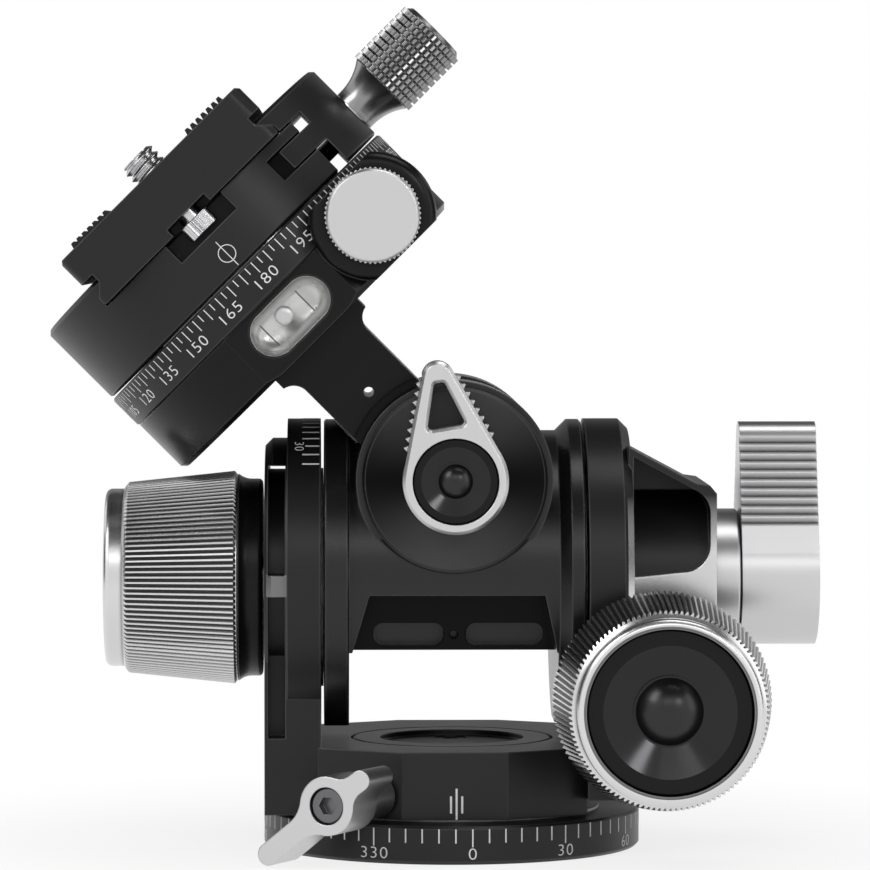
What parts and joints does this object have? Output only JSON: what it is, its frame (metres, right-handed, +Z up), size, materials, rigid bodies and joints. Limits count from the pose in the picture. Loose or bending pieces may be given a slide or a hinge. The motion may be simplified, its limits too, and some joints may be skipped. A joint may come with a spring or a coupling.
{
  "type": "geared tripod head",
  "caption": "Tripod head with worm-geared tilt and roll knobs, clutch levers, a panning base, a panning dovetail clamp and a camera plate.",
  "frame": {"origin": "middle of the base's underside, at the mouth of the tripod thread, on the pan axis", "axes": "+Z up along the pan axis, +X along the tilt axis to the right, +Y along the roll axis away from the front"},
  "size_m": [0.1238, 0.0823, 0.1348],
  "materials": {
    "black": "satin black anodised aluminium",
    "silver": "satin with bright turned edges",
    "steel": "turned",
    "bronze": "turned",
    "nylon": "matte",
    "rubber": "ribbed",
    "vial": "clear"
  },
  "bodies": {
    "base": {"base_disc": "black", "tripod_insert": "steel", "pan_washer": "nylon", "pan_retainer": "black", "retainer_screws": "steel"},
    "frame": {"main_frame": "black", "right_bracket": "black", "bracket_screws": "steel", "left_bush": "bronze", "right_bush": "bronze", "thrust_washers": "nylon", "tilt_worm_bushes": "bronze", "worm_rear_cover": "black", "lever_collar": "silver", "pan_lock_shoe": "bronze"},
    "pan_lock": {"wing_lever": "silver", "wing_screw": "steel"},
    "tilter": {"tilt_body": "black", "roll_front_cap": "black", "roll_rear_cap": "black", "cap_screws": "steel", "left_trunnion": "steel", "right_trunnion": "steel", "tilt_wheel": "bronze", "roll_bushes": "bronze", "roll_worm_bush": "bronze"},
    "tilt_drive": {"tilt_worm": "steel", "tilt_knob": "silver", "tilt_knob_hub": "black", "tilt_knob_cap": "black"},
    "tilt_release": {"tilt_lever": "silver", "tilt_lever_cap": "black"},
    "roll_drive": {"roll_worm": "steel", "roll_knob": "silver", "roll_knob_hub": "black", "roll_knob_cap": "black"},
    "roll_release": {"roll_lever": "silver", "roll_lever_cap": "black"},
    "roller": {"roll_shaft": "steel", "roll_wheel": "bronze", "roll_arm": "black", "arm_screws": "steel", "pan_base": "black", "scale_ring": "black", "level_vial": "vial", "top_lock_shoe": "bronze"},
    "top_lock": {"pan_lock_knob": "silver", "pan_lock_screw": "steel"},
    "clamp": {"clamp_body": "black", "clamp_spindle": "steel", "spindle_screws": "steel"},
    "jaw": {"clamp_jaw": "black", "guide_pins": "steel"},
    "jaw_drive": {"clamp_screw": "steel", "clamp_knob": "silver"},
    "camera_plate": {"plate": "black", "grip_strips": "rubber", "stop_screw": "steel"},
    "camera_stud": {"camera_screw": "steel"}
  },
  "joints": [
    {"name": "base_pan", "type": "hinge", "parent": "base", "child": "frame", "pos_m": [0, 0, 0.00645], "axis": [0, 0, 1], "continuous": true},
    {"name": "pan_lock_turn", "type": "hinge", "parent": "frame", "child": "pan_lock", "pos_m": [0, 0, 0.01015], "axis": [0.4695, 0.8829, 0], "range_deg": [0, 80]},
    {"name": "tilt", "type": "hinge", "parent": "frame", "child": "tilter", "pos_m": [0, 0, 0.043], "axis": [1, 0, 0], "range_deg": [-45, 45]},
    {"name": "tilt_knob_turn", "type": "hinge", "parent": "frame", "child": "tilt_drive", "pos_m": [0.0321, 0, 0.0257], "axis": [0, 1, 0], "range_deg": [-1350, 1350]},
    {"name": "tilt_release_turn", "type": "hinge", "parent": "frame", "child": "tilt_release", "pos_m": [0, 0, 0.043], "axis": [1, 0, 0], "range_deg": [0, 70]},
    {"name": "roll", "type": "hinge", "parent": "tilter", "child": "roller", "pos_m": [0, 0, 0.0598], "axis": [0, 1, 0], "range_deg": [0, 75]},
    {"name": "roll_knob_turn", "type": "hinge", "parent": "tilter", "child": "roll_drive", "pos_m": [0, 0, 0.043], "axis": [1, 0, 0], "range_deg": [0, 2250]},
    {"name": "roll_release_turn", "type": "hinge", "parent": "tilter", "child": "roll_release", "pos_m": [0, 0, 0.0598], "axis": [0, -1, 0], "range_deg": [0, 70]},
    {"name": "top_pan", "type": "hinge", "parent": "roller", "child": "clamp", "pos_m": [0, 0, 0.0598], "axis": [-0.7071, 0, 0.7071], "continuous": true},
    {"name": "top_lock_turn", "type": "hinge", "parent": "roller", "child": "top_lock", "pos_m": [-0.01294, 0, 0.10117], "axis": [0, -1, 0], "range_deg": [0, 180]},
    {"name": "jaw_slide", "type": "slide", "parent": "clamp", "child": "jaw", "axis": [0.7071, 0, 0.7071], "range_m": [0, 0.003]},
    {"name": "jaw_knob_turn", "type": "hinge", "parent": "jaw", "child": "jaw_drive", "pos_m": [-0.03698, 0, 0.09678], "axis": [0.7071, 0, 0.7071], "range_deg": [0, 1080]},
    {"name": "plate_slide", "type": "slide", "parent": "clamp", "child": "camera_plate", "axis": [0, -1, 0], "range_m": [0, 0.06]},
    {"name": "camera_screw_turn", "type": "hinge", "parent": "camera_plate", "child": "camera_stud", "pos_m": [-0.04773, 0, 0.10753], "axis": [-0.7071, 0, 0.7071], "continuous": true}
  ],
  "couplings": [
    {"joint": "tilt_knob_turn", "follows": "tilt", "ratio": -30},
    {"joint": "roll_knob_turn", "follows": "roll", "ratio": 30},
    {"joint": "jaw_knob_turn", "follows": "jaw_slide", "rad_per_m": 6283.2}
  ]
}
